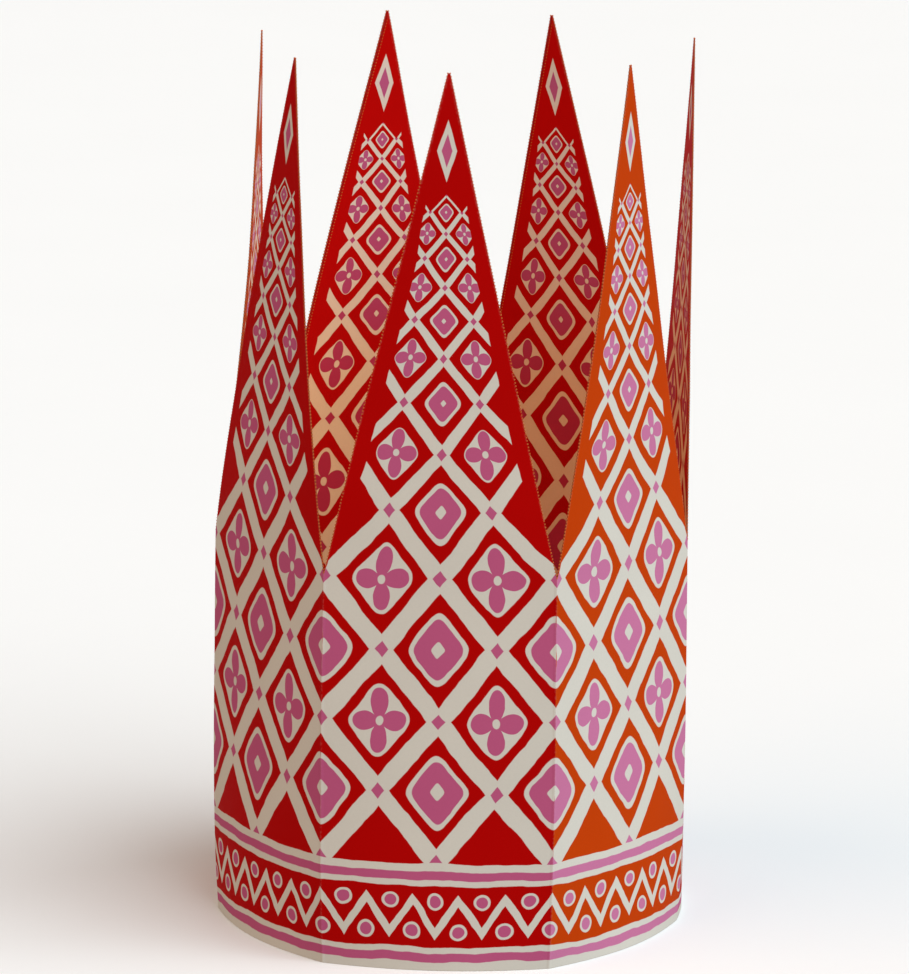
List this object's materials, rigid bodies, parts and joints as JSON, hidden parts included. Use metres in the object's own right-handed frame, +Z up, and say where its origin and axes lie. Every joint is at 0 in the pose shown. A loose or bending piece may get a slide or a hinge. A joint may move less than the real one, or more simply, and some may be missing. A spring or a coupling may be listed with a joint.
{
  "type": "paper crown",
  "caption": "Tall paper crown: a strip of printed card folded into an oval ring of bowed panels that rise to slender spires, glued at the back and worn on the head.",
  "frame": {"origin": "centre of the crown's box on the plane of its bottom edge", "axes": "+Z up along the spires, -Y out of the front panel, +X to the right of someone facing the front panel"},
  "size_m": [0.1678, 0.1922, 0.311],
  "materials": {
    "printed_card": "matt card, printed on both faces in red, cream and pink"
  },
  "bodies": {
    "root": {"crown": "printed_card"}
  },
  "joints": []
}
